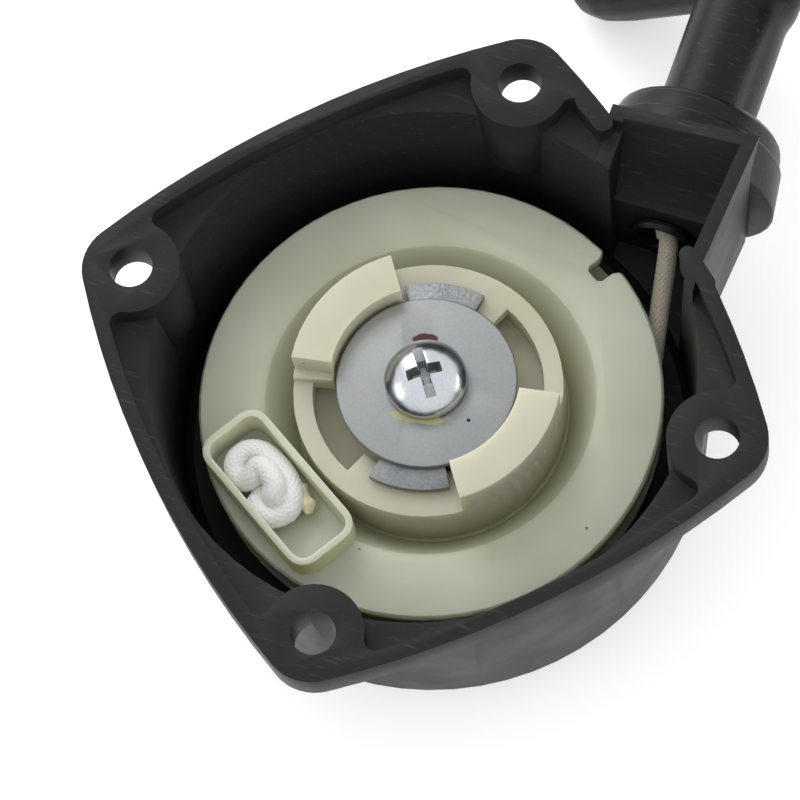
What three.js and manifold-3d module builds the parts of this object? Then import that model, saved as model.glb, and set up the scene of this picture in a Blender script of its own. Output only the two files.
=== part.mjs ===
// Recoil (pull) starter of a small two-stroke engine: a moulded housing with four screw ears, a spring-returned
// rope reel on a central post, a starter cam that winds up against a buffer spring, and a T-handle.
// Units are millimetres. Origin: on the reel axis, on the flat back face of the housing.
// +Z points out of the open side of the housing, towards the engine. +Y is the way the handle is pulled.

import * as THREE from 'three';
import { mergeVertices } from 'three/addons/utils/BufferGeometryUtils.js';
import Module from 'manifold-3d';

const wasm = await Module();
wasm.setup();

// ---------- driving dimensions ----------

const gap = 0.3;              // clearance between pieces that touch or run on each other
const past = 1;               // how far a cutting solid runs past the face that it opens

const screwCircle = 44.5;     // reel axis to each mounting hole
const screwHole = 3.2;        // radius of a mounting hole, clearance for M6
const earRadius = 7.2;        // rounded corner round each mounting hole
const sideBulge = 3.534;      // how far each side bows out past the straight line between its ears
const housingHeight = 34;     // back face to mounting plane
const skirtHeight = 4.8;      // outer edge of the mounting flange
const skirtStep = 1.4;        // set-back of the flange below its skirt
const rimWidth = 2.2;         // width of the rim that seals on the engine
const trayDepth = 3.6;        // recess between the ears, below the rim
const trayFloor = 1.9;        // plastic under that recess
const earFillet = 1.6;        // inside fillet where an ear meets the rim
const earBossHeight = 16;     // length of the screw boss that shows inside the bowl
const bowlMouth = 40;         // inside radius of the bowl at the mounting plane
const bowlFoot = 38;          // inside radius of the bowl at its floor
const bowlWall = 2.2;
const floorThickness = 2.2;
const footRound = 1.5;        // rounding of the back face's edge

const postRadius = 8;         // post that the reel turns on
const shoulderRadius = 6.4;   // slimmer end of the post, inside the tab plate
const screwRadius = 3;        // M6
const screwLength = 16;
const screwHeadRadius = 6;
const screwHeadHeight = 4.3;
const insertWall = 1.6;       // brass insert round the screw

const reelRadius = 34.3;
const reelFloorLevel = 8.2;   // underside of the reel's lower flange
const reelWeb = 1.6;          // lower flange and well floor
const reelFlange = 2.2;       // upper flange
const drumRadius = 25;        // bottom of the rope groove
const wellTop = 24.8;         // radius where the upper face turns down into the well
const wellBottom = 20.5;
const hubWall = 2.6;
const reelNotchAngle = 56.8;  // degrees
const reelNotchFloor = 30.4;
const reelNotchWidth = 3.2;

const pocketAngle = 232.9;    // direction of the knot pocket from the reel axis, degrees
const pocketNear = 20.95;     // radial distance of its inner wall
const pocketFar = 32.1;
const pocketHalf = 12.6;      // half its length
const pocketShift = 0.5;      // how far its middle lies along from that direction
const pocketLean = 5;         // degrees; how its long side leans from square to that direction
const pocketWall = 1;
const pocketRise = 4.5;       // how far its walls stand above the reel's face
const pocketSink = 1.2;       // how far its floor lies below that face
const pocketCorner = 2.9;

const camOuter = 19.8;
const camInner = 17;
const camTop = 19.5;          // level of the cam's plain rim
const dogTop = 25;            // level of its two driving dogs
const dogInner = 13.9;
const dogStart = 304;         // degrees; the second dog is half a turn on
const dogSpan = 65;
const ledgeInner = 13.5;
const ledgeDepth = 2.2;
const ledgeStart = 246;
const ledgeSpan = 58;
const camWeb = 0.9;           // floor inside the cam, over the buffer spring
const buffer = { wire: 0.6, coil: 13.6, turns: 1.6, pitch: 1.35 };   // torsion spring inside the cam

const tabThickness = 1.2;
const tabPlateRadius = 12.6;
const tabReach = 16.3;
const tabStart = 258;
const tabSpan = 43;
const discRadius = 13.3;
const discThickness = 1;

const spring = { strip: 0.6, inner: 12.6, outer: 30.6, turns: 8 };   // flat recoil spring
const springWallInner = 31.8;
const springWallOuter = 33.3;
const springSlotAngle = 150;  // degrees; where the spring's outer end leaves its wall
const springSlotHalf = 1.6;   // half width of that slot

const ropeRadius = 1.5;
const ropeWound = 31.3;       // radius of the outermost turn of rope
const eyeletX = 23.8;         // sideways offset of the rope outlet and the handle's stem
const eyeletBore = 3.3;
const eyeletWall = 0.9;
const eyeletLip = 5;
const eyeletLipThickness = 1.3;

const outletLeftSide = 7.5;   // stem axis to the inside of the outlet box's left wall
const outletLeftWall = 2.3;
const outletRightSide = 12.2; // stem axis to the outside of its right wall at the far top corner
const outletRightWall = 2.1;
const outletFarTop = 45.4;    // outside of the far wall at its rim, left end
const outletFarWall = 1.8;    // that wall's thickness above the seat
const outletSkew = 0.055;     // how far that wall swings out per mm to the right
const outletRimDrop = 0.5;    // the outlet's rim lies a little below the mounting plane
const outletRimFace = 0.6;    // upright edge of that rim
const outletSeat = 43.6;      // flat seat that the handle's collar rests against
const outletSeatTop = 27.2;   // level where the seat turns out to the rim
const outletSeatBack = 2.7;   // the far wall's inner face keeps this far behind and below the seat's turn
const outletFloorLevel = 1.8; // underside of the box
const outletFloor = 2.4;
const outletWall = 6.6;       // solid wall that holds the eyelet, behind the seat
const outletLedge = 19.4;     // level of the top of that wall
const outletNotch = { start: 36, end: 43, depth: 3 };   // low part of the left wall's top
const outletNear = 15;        // how near the middle the box's side walls start
const outletDraft = 0.048;    // lean of the right wall per mm of height
const outletToe = 0.083;      // lean of the right wall per mm of length
const outletShoulder = 24.6;  // where the right wall meets the flange's edge
const ribLength = 3.5;        // rounded ends of the rim beside the outlet
const ribRadius = 1.5;

const collarRadius = 14.8;     // at its foot
const collarLength = 11.4;
const collarTaper = 0.9;      // how much slimmer it is at its step
const collarFloor = 2.8;
const stemRadius = 7.4;
const barBase = 77.8;         // underside of the T-bar at the stem
const barHalf = 36.3;         // half its length
const barThick = 13.6;        // along the pull
const barWide = 14.6;         // across the pull
const barDroop = 1.6;         // how far its ends sweep back towards the collar
const barSides = 16;
const barTilt = 34;           // degrees; how the bar lies about the stem's axis at rest
const knotChamber = 6.2;      // radius of the chamber for the rope's end knot
const capThickness = 2.4;
const capSink = 0.9;          // how far the cap lies below the bar's crown
const knotSink = 3;           // floor of the chamber above the bar's underside

// ---------- levels that follow from them ----------

const mountLevel = housingHeight;
const outletLeft = eyeletX - outletLeftSide;
const outletRight = eyeletX + outletRightSide;
const grooveBottom = reelFloorLevel + reelWeb;
const reelFace = 16.4;
const grooveTop = reelFace - reelFlange;
const ropeLevel = (grooveBottom + grooveTop) / 2;
const camFoot = grooveBottom + gap;
const plateBottom = camTop + gap;
const plateTop = plateBottom + tabThickness;
const discBottom = plateTop + gap;
const discTop = discBottom + discThickness;
const shoulderTop = plateTop;
const postTop = camTop - 0.1;
const hubTop = postTop - gap;
const washer = { bottom: floorThickness + gap, thickness: 0.7 };
const hubBottom = washer.bottom + washer.thickness + gap;
const hubInner = postRadius + gap;
const hubOuter = hubInner + hubWall;
const collarStart = outletSeat + gap + 0.2;
const collarEnd = collarStart + collarLength;
const barMiddle = barBase + barThick / 2;
const barTop = barBase + barThick;

// ---------- geometry helpers ----------

const turn = (degrees) => THREE.MathUtils.degToRad(degrees);

// Points of an arc about (x, y), both ends included.
function arc(x, y, radius, from, to, steps) {
  const points = [];
  for (let i = 0; i <= steps; i++) {
    const a = from + ((to - from) * i) / steps;
    points.push(new THREE.Vector2(x + radius * Math.cos(a), y + radius * Math.sin(a)));
  }
  return points;
}

// Closed solid for cutting and joining.
function solid(geometry) {
  const bare = new THREE.BufferGeometry();
  bare.setAttribute('position', geometry.getAttribute('position').clone());
  if (geometry.index) bare.setIndex(geometry.index.clone());
  const merged = mergeVertices(bare, 1e-4);
  return new wasm.Manifold(new wasm.Mesh({
    numProp: 3,
    vertProperties: new Float32Array(merged.getAttribute('position').array),
    triVerts: new Uint32Array(merged.index.array),
  }));
}

function extrude(points, bottom, top) {
  const geometry = new THREE.ExtrudeGeometry(new THREE.Shape(points), { depth: top - bottom, bevelEnabled: false });
  return solid(geometry.translate(0, 0, bottom));
}

// Profile points are [radius, level]; the profile closes on itself or on the axis.
function lathe(profile, segments) {
  const onAxis = profile[0][0] === 0;
  const loop = onAxis ? profile : [...profile, profile[0]];
  const geometry = new THREE.LatheGeometry(loop.map(([r, z]) => new THREE.Vector2(r, z)), segments);
  return solid(geometry.rotateX(Math.PI / 2));
}

function disc(radius, bottom, top, segments = 48) {
  return lathe([[0, bottom], [radius, bottom], [radius, top], [0, top]], segments);
}

function ring(inner, outer, bottom, top, segments = 48) {
  return lathe([[inner, bottom], [outer, bottom], [outer, top], [inner, top]], segments);
}

// Slice of a ring between two directions, in degrees.
function sector(inner, outer, start, span, bottom, top) {
  const steps = Math.max(2, Math.ceil(span / 6));
  const from = turn(start);
  const to = turn(start + span);
  return extrude([...arc(0, 0, outer, from, to, steps), ...arc(0, 0, inner, to, from, steps)], bottom, top);
}

function block(x0, x1, y0, y1, z0, z1) {
  const geometry = new THREE.BoxGeometry(x1 - x0, y1 - y0, z1 - z0);
  return solid(geometry.translate((x0 + x1) / 2, (y0 + y1) / 2, (z0 + z1) / 2));
}

// Solid through a row of rings, each a list of [x, y, z] with the same count.
function loft(rings) {
  const count = rings[0].length;
  const positions = rings.flat(2);
  const index = [];
  for (let k = 0; k + 1 < rings.length; k++) {
    for (let i = 0; i < count; i++) {
      const a = k * count + i;
      const b = k * count + ((i + 1) % count);
      index.push(a, b, b + count, a, b + count, a + count);
    }
  }
  const last = (rings.length - 1) * count;
  for (let i = 1; i + 1 < count; i++) {
    index.push(0, i + 1, i);
    index.push(last, last + i, last + i + 1);
  }
  const geometry = new THREE.BufferGeometry();
  geometry.setAttribute('position', new THREE.Float32BufferAttribute(positions, 3));
  geometry.setIndex(index);
  return solid(geometry);
}

function tube(points, radius, sides, steps) {
  const section = new THREE.Shape(arc(0, 0, radius, 0, 2 * Math.PI * (1 - 1 / sides), sides - 1));
  const path = new THREE.CatmullRomCurve3(points.map((p) => new THREE.Vector3(...p)), false, 'centripetal');
  return solid(new THREE.ExtrudeGeometry(section, { steps, extrudePath: path }));
}

// Flat strip of even thickness along plan points, standing on edge.
function strip(points, thickness, bottom, top) {
  const left = [];
  const right = [];
  points.forEach((p, i) => {
    const ahead = points[Math.min(i + 1, points.length - 1)];
    const behind = points[Math.max(i - 1, 0)];
    const normal = ahead.clone().sub(behind).normalize().rotateAround(new THREE.Vector2(), Math.PI / 2);
    left.push(p.clone().addScaledVector(normal, thickness / 2));
    right.push(p.clone().addScaledVector(normal, -thickness / 2));
  });
  return extrude([...right, ...left.reverse()], bottom, top);
}

const spun = (piece, degrees) => piece.rotate([0, 0, degrees]);

// A lathe about the stem's axis; its levels become distances along +Y.
const alongStem = (piece) => piece.rotate([-90, 0, 0]).translate([eyeletX, 0, ropeLevel]);

const union = (pieces) => pieces.reduce((a, b) => a.add(b));

// ---------- housing ----------

// Radius of the bowed sides, tangent to the ears and reaching sideReach at the middle.
const diagonal = Math.SQRT1_2;
const sideReach = screwCircle * diagonal + earRadius + sideBulge;
const bowRadius = (earRadius ** 2 - screwCircle ** 2 + 2 * screwCircle * sideReach * diagonal - sideReach ** 2)
  / (2 * (screwCircle * diagonal - sideReach + earRadius));
const bowCentre = (sideReach - bowRadius) * diagonal;
const earTangent = Math.atan2(-bowCentre, screwCircle - bowCentre);

// Outline of the flange, drawn in by inset.
function flangeOutline(inset) {
  const points = [];
  for (let side = 0; side < 4; side++) {
    const quarter = (side * Math.PI) / 2;
    const origin = new THREE.Vector2();
    const corner = [
      ...arc(screwCircle, 0, earRadius - inset, -earTangent, earTangent, 8),
      ...arc(bowCentre, bowCentre, bowRadius - inset, earTangent, Math.PI / 2 - earTangent, 12).slice(1, -1),
    ];
    points.push(...corner.map((p) => p.rotateAround(origin, quarter)));
  }
  return points;
}

// Point of the first bowed side at x, drawn in by inset.
const onBow = (x, inset) => [x, bowCentre + Math.sqrt((bowRadius - inset) ** 2 - (x - bowCentre) ** 2)];

// Plan of the recess between two ears, with a fillet at each ear.
function trayOutline() {
  const bow = new THREE.Vector2(bowCentre, bowCentre);
  const ear = new THREE.Vector2(screwCircle, 0);
  const inside = bowRadius - rimWidth;
  const across = inside - earFillet;
  const out = earRadius + earFillet;
  const apart = ear.distanceTo(bow);
  const along = (across ** 2 - out ** 2 + apart ** 2) / (2 * apart);
  const aside = Math.sqrt(across ** 2 - along ** 2);
  const ahead = ear.clone().sub(bow).divideScalar(apart);
  const fillet = bow.clone().addScaledVector(ahead, along)
    .add(new THREE.Vector2(-ahead.y, ahead.x).multiplyScalar(aside));
  const onBow = Math.atan2(fillet.y - bow.y, fillet.x - bow.x);
  const onEar = Math.atan2(fillet.y - ear.y, fillet.x - ear.x);
  const half = [
    ...arc(ear.x, ear.y, earRadius, Math.PI, onEar, 8),
    ...arc(fillet.x, fillet.y, earFillet, onEar - Math.PI, onBow, 5).slice(1, -1),
    ...arc(bow.x, bow.y, inside, onBow, Math.PI / 4, 8),
  ];
  const mirrored = half.slice(0, -1).map((p) => new THREE.Vector2(p.y, p.x)).reverse();
  return [...half, ...mirrored, new THREE.Vector2(0, 0)];
}

// Outside of the outlet's right wall at a distance y along the pull and a level z.
const rightFace = (y, z) => outletRight - (outletFarTop - y) * outletToe - (mountLevel - z) * outletDraft;

// Four-cornered section of the outlet box at one level.
function outletSection(left, near, far, level, wall, skew = 0) {
  const right = rightFace(far, level) - wall;
  return [
    [left, near, level], [rightFace(near, level) - wall, near, level],
    [right, far + (right - left) * skew, level], [left, far, level],
  ];
}

function outletBody() {
  const left = outletLeft - outletLeftWall;
  const rim = mountLevel - outletRimDrop;
  return loft([
    outletSection(left, outletNear, outletSeat, outletFloorLevel, 0),
    outletSection(left, outletNear, outletSeat, outletSeatTop, 0),
    outletSection(left, outletNear, outletFarTop, rim - outletRimFace, 0, outletSkew),
    outletSection(left, outletNear, outletFarTop, rim, 0, outletSkew),
  ]);
}

function outletCavity() {
  const near = outletNear - 3;
  const inner = outletSeat - outletWall;
  const rim = mountLevel - outletRimDrop;
  const farRim = outletFarTop - outletFarWall;
  const turnFar = outletSeat - outletSeatBack;
  const wall = outletRightWall;
  const low = loft([
    outletSection(outletLeft, near, inner, outletFloorLevel + outletFloor, wall),
    outletSection(outletLeft, near, inner, outletLedge + 0.01, wall),
  ]);
  const high = loft([
    outletSection(outletLeft, near, inner + 0.7, outletLedge, wall, outletSkew),
    outletSection(outletLeft, near, turnFar, outletSeatTop - outletSeatBack, wall, outletSkew),
    outletSection(outletLeft, near, farRim, rim, wall, outletSkew),
    outletSection(outletLeft, near, farRim, mountLevel + past, wall, outletSkew),
  ]);
  return low.add(high);
}

// End of the rim beside the outlet: a rounded rib.
function rib([x0, y0], [x1, y1], radius) {
  const lean = Math.atan2(y1 - y0, x1 - x0);
  const half = Math.PI / 2;
  return extrude([
    ...arc(x1, y1, radius, lean - half, lean + half, 8),
    ...arc(x0, y0, radius, lean + half, lean + 3 * half, 8),
  ], mountLevel - trayDepth - trayFloor, mountLevel);
}

function starterHousing() {
  const skirtFoot = mountLevel - skirtHeight;
  const trayLevel = mountLevel - trayDepth;
  const flange = extrude(flangeOutline(0), skirtFoot, mountLevel)
    .add(extrude(flangeOutline(skirtStep), trayLevel - trayFloor, skirtFoot + 0.01));
  const foot = [[0, 0], [bowlFoot + bowlWall - footRound, 0]];
  for (let step = 1; step <= 4; step++) {
    const a = (step * Math.PI) / 8;
    foot.push([bowlFoot + bowlWall - footRound * (1 - Math.sin(a)), footRound * (1 - Math.cos(a))]);
  }
  const shell = lathe([...foot, [bowlMouth + bowlWall, mountLevel - 1], [0, mountLevel - 1]], 64);
  const bowl = lathe([
    [0, floorThickness], [bowlFoot - 1, floorThickness], [bowlFoot, floorThickness + 1],
    [bowlMouth, mountLevel + past], [0, mountLevel + past],
  ], 64);

  const tray = extrude(trayOutline(), trayLevel, mountLevel + past);
  const plainTrays = union([1, 2, 3].map((side) => spun(tray, 90 * side)));
  const leftOfOutlet = outletLeft - outletLeftWall;
  const rightOfOutlet = rightFace(outletShoulder, mountLevel);
  const outer = 2 * screwCircle;
  const outletPlan = block(leftOfOutlet, rightOfOutlet, outletShoulder, outer, 0, mountLevel + past);
  const openTray = tray.subtract(block(leftOfOutlet, rightOfOutlet, 0, outer, 0, mountLevel + past))
    .add(block(leftOfOutlet - 0.01, outletLeft + 0.01, outletNotch.start, outletNotch.end,
      mountLevel - outletNotch.depth, mountLevel + past));

  const boss = disc(earRadius, mountLevel - earBossHeight, mountLevel, 40)
    .translate([screwCircle, 0, 0]);
  const bosses = union([0, 1, 2, 3].map((side) => spun(boss, 90 * side))).intersect(shell.add(flange));
  let body = flange.subtract(outletPlan).add(shell).add(outletBody());
  body = body.subtract(bowl).subtract(plainTrays).subtract(openTray).subtract(outletCavity());
  body = body.add(bosses);
  const leftRibEnd = leftOfOutlet - 0.4;
  body = body.add(rib(onBow(leftRibEnd - ribLength, ribRadius), onBow(leftRibEnd, ribRadius), ribRadius));
  body = body.add(rib(onBow(outletShoulder + 1, 1.5).reverse(), onBow(outletShoulder - 2.5, 0.9).reverse(), 1.25));

  const wall = ring(springWallInner, springWallOuter, floorThickness - 0.1, reelFloorLevel - 2 * gap);
  const slot = block(springWallInner - 2, springWallOuter + 2, -springSlotHalf, springSlotHalf,
    floorThickness, reelFloorLevel);
  body = body.add(wall.subtract(spun(slot, springSlotAngle)));

  const insertRadius = screwRadius + gap + insertWall;
  const post = disc(postRadius, 0.1, postTop, 48).add(disc(shoulderRadius, postTop - 1, shoulderTop, 48));
  body = body.add(post).subtract(disc(insertRadius + gap, discTop - screwLength - 2, shoulderTop + past, 32));

  const hole = disc(screwHole, 0, mountLevel + past, 32).translate([screwCircle, 0, 0]);
  body = body.subtract(union([0, 1, 2, 3].map((side) => spun(hole, 90 * side)))
    .subtract(disc(bowlMouth + 1, 0, mountLevel - skirtHeight, 64)));
  const ropeHole = alongStem(disc(eyeletBore + eyeletWall + gap, outletSeat - outletWall - 2, outletSeat + past, 32));
  return body.subtract(ropeHole);
}

// ---------- reel, springs and cam ----------

function ropeEyelet() {
  const start = outletSeat - outletWall - gap - eyeletLipThickness;
  const bore = eyeletBore;
  const outer = eyeletBore + eyeletWall;
  const round = eyeletLipThickness / 2;
  return alongStem(lathe([
    [bore + 0.7, start + 0.1], [bore + 0.9, start], [eyeletLip - 0.5, start], [eyeletLip, start + round],
    [eyeletLip, start + eyeletLipThickness], [outer, start + eyeletLipThickness], [outer, outletSeat - 0.2],
    [bore, outletSeat - 0.2], [bore, start + 1], [bore + 0.25, start + 0.45],
  ], 24));
}

function spindleInsert() {
  const outer = screwRadius + gap + insertWall;
  return ring(screwRadius + gap, outer, discTop - screwLength - 1, shoulderTop - 0.2, 24);
}

function recoilSpring() {
  const bottom = hubBottom;
  const top = reelFloorLevel - 2 * gap;
  const sweep = spring.turns * 2 * Math.PI;
  const end = turn(springSlotAngle);
  const points = [new THREE.Vector2(hubOuter - 1.2, 0).rotateAround(new THREE.Vector2(), end - sweep)];
  const steps = spring.turns * 14;
  for (let i = 0; i <= steps; i++) {
    const radius = spring.inner + ((spring.outer - spring.inner) * i) / steps;
    const angle = end - sweep + (sweep * i) / steps;
    points.push(new THREE.Vector2(radius * Math.cos(angle), radius * Math.sin(angle)));
  }
  const tip = springWallOuter + 1;
  points.push(new THREE.Vector2(tip * Math.cos(end), tip * Math.sin(end)));
  return strip(points, spring.strip, bottom, top);
}

function knotPocket(inset, bottom, top) {
  const corner = Math.max(pocketCorner - inset, 0.8);
  const x0 = pocketNear + inset + corner;
  const x1 = pocketFar - inset - corner;
  const y1 = pocketHalf - inset - corner;
  const quarter = Math.PI / 2;
  const middle = (pocketNear + pocketFar) / 2;
  const plain = extrude([
    ...arc(x1, y1, corner, 0, quarter, 4), ...arc(x0, y1, corner, quarter, 2 * quarter, 4),
    ...arc(x0, -y1, corner, 2 * quarter, 3 * quarter, 4), ...arc(x1, -y1, corner, 3 * quarter, 4 * quarter, 4),
  ], bottom, top);
  return spun(spun(plain.translate([-middle, pocketShift, 0]), pocketLean).translate([middle, 0, 0]), pocketAngle);
}

function ropeReel() {
  const body = lathe([
    [hubInner, hubBottom], [hubOuter, hubBottom], [hubOuter, reelFloorLevel], [reelRadius - 0.8, reelFloorLevel],
    [reelRadius - 0.3, reelFloorLevel + 0.5], [reelRadius - 0.3, grooveBottom - 0.5], [drumRadius, grooveBottom],
    [drumRadius, grooveTop], [reelRadius - 0.3, grooveTop + 0.2], [reelRadius, grooveTop + 0.6],
    [reelRadius, reelFace - 0.6], [reelRadius - 0.4, reelFace], [wellTop + 0.6, reelFace],
    [wellTop - 0.3, reelFace - 0.3], [wellTop - 1, reelFace - 1.2], [wellBottom, grooveBottom + 0.4],
    [wellBottom - 0.3, grooveBottom], [hubOuter, grooveBottom], [hubOuter, hubTop], [hubInner, hubTop],
  ], 64);
  const pocket = knotPocket(0, grooveTop + 0.3, reelFace + pocketRise)
    .add(knotPocket(0, grooveBottom - 0.1, grooveTop + 0.5).intersect(disc(drumRadius, 0, housingHeight, 72)));
  const hollow = knotPocket(pocketWall, reelFace - pocketSink, reelFace + pocketRise + past);
  const notchHalf = reelNotchWidth / 2;
  const notch = extrude([
    new THREE.Vector2(reelNotchFloor + 0.6, -notchHalf), new THREE.Vector2(reelNotchFloor, -notchHalf + 0.6),
    new THREE.Vector2(reelNotchFloor, notchHalf - 0.6), new THREE.Vector2(reelNotchFloor + 0.6, notchHalf),
    new THREE.Vector2(reelRadius - 1.4, notchHalf), new THREE.Vector2(reelRadius - 0.5, notchHalf + 0.5),
    new THREE.Vector2(reelRadius + past, notchHalf + 1.9), new THREE.Vector2(reelRadius + past, -notchHalf - 1.9),
    new THREE.Vector2(reelRadius - 0.5, -notchHalf - 0.5), new THREE.Vector2(reelRadius - 1.4, -notchHalf),
  ], grooveTop - past, reelFace + past);
  const ropeHole = disc(ropeRadius + 2 * gap, grooveTop - past, reelFace, 20)
    .translate([drumRadius + ropeRadius + 2 * gap, -6, 0]);
  const springSlot = block(hubOuter - 1.5, hubOuter + past, -0.9, 0.9, hubBottom - past, reelFloorLevel - 0.2);
  const bufferSlot = block(hubOuter - 1.5, hubOuter + past, -1.6, 1.6, grooveBottom, grooveBottom + 3);
  const springAngle = springSlotAngle - spring.turns * 360;
  return body.add(pocket).subtract(hollow).subtract(spun(notch, reelNotchAngle))
    .subtract(spun(ropeHole, pocketAngle)).subtract(spun(springSlot, springAngle)).subtract(bufferSlot);
}

// The rope under its outermost turn, as one plain ring; that turn runs off to the outlet.
function ropeWinding() {
  return ring(drumRadius + gap, ropeWound - ropeRadius - gap, grooveBottom + gap, grooveTop - gap);
}

// Point where a line through (x, y) touches a circle about the reel axis, on its +X side.
function touch(radius, x, y) {
  const distance = Math.hypot(x, y);
  const angle = Math.atan2(y, x) - Math.acos(radius / distance);
  return [radius * Math.cos(angle), radius * Math.sin(angle)];
}

function ropeRun() {
  const lip = outletSeat - outletWall - eyeletLipThickness;
  const bendX = eyeletX + eyeletBore - ropeRadius - 0.45;
  const [x, y] = touch(ropeWound, bendX, lip + 1);
  const between = (t) => [x + (bendX - x) * t, y + (lip + 1 - y) * t, ropeLevel];
  return tube([
    between(0), between(0.25), between(0.5), between(0.75), between(0.96),
    [eyeletX + 0.75, lip + 2.6, ropeLevel], [eyeletX + 0.15, outletSeat - 0.6, ropeLevel],
    [eyeletX, outletSeat + gap, ropeLevel],
  ], ropeRadius, 8, 14);
}

function lump(x, y, z, rx, ry, rz, degrees) {
  const ball = new THREE.SphereGeometry(1, 10, 6);
  return solid(ball).scale([rx, ry, rz]).rotate([0, 0, degrees]).translate([x, y, z]);
}

// Overhand knot in its pocket: two crossing bights and the rope coming up through the floor.
function ropeKnot() {
  const middle = (pocketNear + pocketFar) / 2;
  const floor = reelFace - pocketSink + gap;
  const rise = 3;
  const stem = disc(ropeRadius, grooveTop + gap, floor + rise, 10)
    .translate([drumRadius + ropeRadius + 2 * gap, -6, 0]);
  const knot = union([
    lump(middle + 0.2, -3.9, floor + rise, 2.8, 2.7, rise, 20), lump(middle - 0.7, -0.4, floor + rise, 2.3, 4.2, rise, 10),
    lump(middle - 0.1, 2.3, floor + rise * 0.93, 2.7, 2.3, rise * 0.93, -30),
  ]);
  return spun(knot.add(stem), pocketAngle);
}

function ropeTail() {
  const middle = (pocketNear + pocketFar) / 2 - 0.6;
  const level = reelFace - pocketSink + gap + ropeRadius + 1.5;
  return spun(tube([[middle, 5.1, level], [middle - 0.3, 6.3, level + 0.2], [middle - 0.8, 8.0, level - 0.3]],
    ropeRadius * 0.9, 8, 4), pocketAngle);
}

function bufferSpring() {
  const points = [];
  const base = camFoot + buffer.wire + gap;
  const steps = Math.round(buffer.turns * 12);
  const sweep = buffer.turns * 2 * Math.PI;
  points.push([hubOuter - 0.9, 0, base], [buffer.coil - 0.5, 0.3, base]);
  for (let i = 1; i <= steps; i++) {
    const angle = (sweep * i) / steps;
    points.push([buffer.coil * Math.cos(angle), buffer.coil * Math.sin(angle), base + (buffer.pitch * angle) / (2 * Math.PI)]);
  }
  const level = base + buffer.pitch * buffer.turns;
  const out = sweep + 0.16;
  points.push([(camInner - 0.6) * Math.cos(out), (camInner - 0.6) * Math.sin(out), level]);
  points.push([(camInner + 1.1) * Math.cos(out + 0.02), (camInner + 1.1) * Math.sin(out + 0.02), level]);
  return tube(points, buffer.wire, 8, steps + 8);
}

function starterCam() {
  const rim = ring(camInner, camOuter, camFoot, camTop, 60);
  const inside = camTop - ledgeDepth;
  const ledge = sector(ledgeInner, camInner + 0.5, ledgeStart, ledgeSpan + 2, inside, camTop);
  const dog = sector(dogInner, camOuter, dogStart, dogSpan, inside, dogTop);
  const ramp = sector(dogInner, camOuter, dogStart + dogSpan - 0.5, 5, inside, camTop + 1.2);
  const pair = union([ledge, dog, ramp]);
  const slotAngle = THREE.MathUtils.radToDeg(buffer.turns * 2 * Math.PI + 0.17);
  const slotLevel = camFoot + buffer.wire + gap + buffer.pitch * buffer.turns;
  const slot = block(camInner - 0.8, camInner + 1.6, -1.1, 1.1, slotLevel - 1.1, slotLevel + 0.9);
  const webFoot = slotLevel + buffer.wire + gap;
  const web = ring(hubOuter + gap, camInner + 0.5, webFoot, webFoot + camWeb, 60);
  return rim.add(web).add(pair).add(spun(pair, 180)).subtract(spun(slot, slotAngle));
}

function tabPlate() {
  const tab = sector(tabPlateRadius - 2, tabReach, tabStart, tabSpan, plateBottom, plateTop);
  return disc(tabPlateRadius, plateBottom, plateTop, 40).add(tab).add(spun(tab, 180))
    .subtract(disc(shoulderRadius + gap, plateBottom - past, plateTop + past, 48));
}

function retainingDisc() {
  return lathe([
    [screwRadius + gap, discBottom], [discRadius, discBottom], [discRadius, discTop - 0.2],
    [discRadius - 0.2, discTop], [screwRadius + gap, discTop],
  ], 40);
}

function spindleScrew() {
  const seat = discTop + gap;
  const top = seat + screwHeadHeight;
  const edge = screwHeadHeight * 0.42;
  const profile = [[0, discTop - screwLength], [screwRadius - 0.6, discTop - screwLength],
    [screwRadius, discTop - screwLength + 0.8], [screwRadius, seat], [screwHeadRadius - 0.3, seat],
    [screwHeadRadius, seat + 0.4], [screwHeadRadius, seat + edge * 0.7]];
  for (let step = 1; step <= 5; step++) {
    const a = (step * Math.PI) / 10;
    profile.push([screwHeadRadius * Math.cos(a), seat + edge * 0.7 + (top - seat - edge * 0.7) * Math.sin(a)]);
  }
  profile[profile.length - 1][0] = 0;
  const slot = block(-screwHeadRadius - 1, screwHeadRadius + 1, -0.7, 0.7, top - 1.5, top + past);
  const cross = block(-2.2, 2.2, -0.7, 0.7, top - 2.4, top + past);
  return lathe(profile, 28).subtract(spun(slot, -55)).subtract(spun(cross, 35)).subtract(spun(cross, -55));
}

// ---------- handle ----------

function gripBar() {
  const tilt = turn(barTilt);
  const along = new THREE.Vector3(Math.cos(tilt), 0, Math.sin(tilt));
  const across = new THREE.Vector3(-Math.sin(tilt), 0, Math.cos(tilt));
  const rings = [];
  const steps = 16;
  for (let k = 0; k <= steps; k++) {
    const t = -Math.PI / 2 + (Math.PI * k) / steps;
    const s = Math.sin(t);
    const full = Math.max(Math.pow(Math.max(1 - Math.abs(s) ** 10, 0), 0.5), 0.25);
    const swell = 1 + 0.05 * Math.min(1, (Math.abs(s) * 1.4) ** 2);
    const ringPoints = [];
    for (let i = 0; i < barSides; i++) {
      const a = (2 * Math.PI * i) / barSides;
      const point = new THREE.Vector3(eyeletX, barMiddle - barDroop * s * s, ropeLevel)
        .addScaledVector(along, barHalf * s)
        .addScaledVector(across, (barWide / 2) * full * Math.sin(a));
      point.y += (barThick / 2) * full * swell * Math.cos(a);
      ringPoints.push([point.x, point.y, point.z]);
    }
    rings.push(ringPoints);
  }
  return loft(rings);
}

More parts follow.
